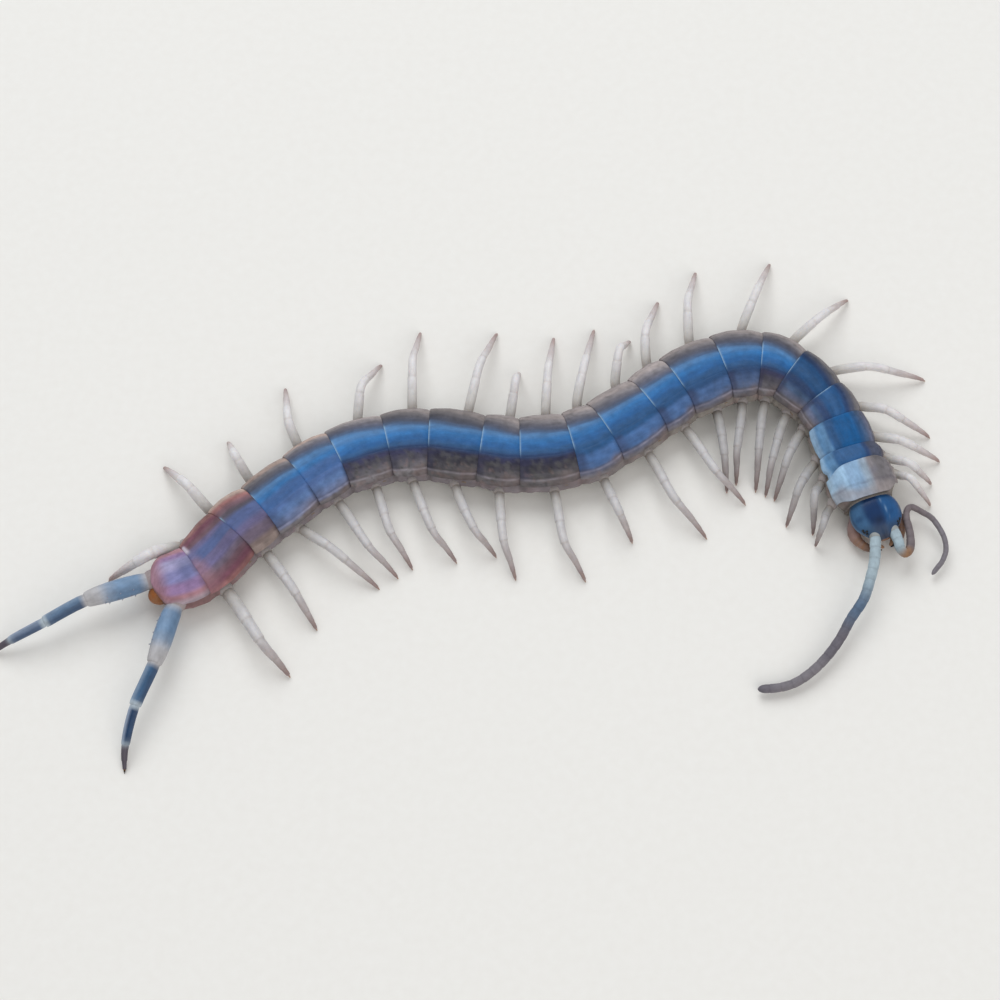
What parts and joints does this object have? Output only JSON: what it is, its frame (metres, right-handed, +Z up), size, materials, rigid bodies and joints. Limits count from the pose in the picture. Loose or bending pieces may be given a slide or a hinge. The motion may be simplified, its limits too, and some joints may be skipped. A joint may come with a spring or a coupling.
{
  "type": "giant centipede",
  "caption": "Life-size giant centipede with banded blue-grey back plates, pale walking legs, curled antennae and long trailing last legs, walking in an S-shaped pose on a floor.",
  "frame": {"origin": "on the floor under the middle of the whole animal's box", "axes": "+X along the animal's overall length towards the head end, +Y across it towards its left side in the middle of the body, +Z up"},
  "size_m": [0.1082, 0.0646, 0.0052],
  "materials": {
    "back_plates": "glossy cuticle",
    "head_shield": "glossy cuticle",
    "pale_legs": "satin cuticle",
    "blue_last_legs": "glossy cuticle",
    "feelers": "satin cuticle",
    "poison_claws": "glossy horn"
  },
  "bodies": {
    "root": {"head": "head_shield", "forcipule_left": "poison_claws", "forcipule_right": "poison_claws", "antenna_left": "feelers", "antenna_right": "feelers", "trunk_01_03": "back_plates", "trunk_04_06": "back_plates", "trunk_07_09": "back_plates", "trunk_10_12": "back_plates", "trunk_13_15": "back_plates", "trunk_16_18": "back_plates", "trunk_19_21": "back_plates", "leg_left_01": "pale_legs", "leg_left_02": "pale_legs", "leg_left_03": "pale_legs", "leg_left_04": "pale_legs", "leg_left_05": "pale_legs", "leg_left_06": "pale_legs", "leg_left_07": "pale_legs", "leg_left_08": "pale_legs", "leg_left_09": "pale_legs", "leg_left_10": "pale_legs", "leg_left_11": "pale_legs", "leg_left_12": "pale_legs", "leg_left_13": "pale_legs", "leg_left_14": "pale_legs", "leg_left_15": "pale_legs", "leg_left_16": "pale_legs", "leg_left_17": "pale_legs", "leg_left_18": "pale_legs", "leg_left_19": "pale_legs", "leg_left_20": "pale_legs", "leg_left_21": "blue_last_legs", "leg_right_01": "pale_legs", "leg_right_02": "pale_legs", "leg_right_03": "pale_legs", "leg_right_04": "pale_legs", "leg_right_05": "pale_legs", "leg_right_06": "pale_legs", "leg_right_07": "pale_legs", "leg_right_08": "pale_legs", "leg_right_09": "pale_legs", "leg_right_10": "pale_legs", "leg_right_11": "pale_legs", "leg_right_12": "pale_legs", "leg_right_13": "pale_legs", "leg_right_14": "pale_legs", "leg_right_15": "pale_legs", "leg_right_16": "pale_legs", "leg_right_17": "pale_legs", "leg_right_18": "pale_legs", "leg_right_19": "pale_legs", "leg_right_20": "pale_legs", "leg_right_21": "blue_last_legs"}
  },
  "joints": []
}
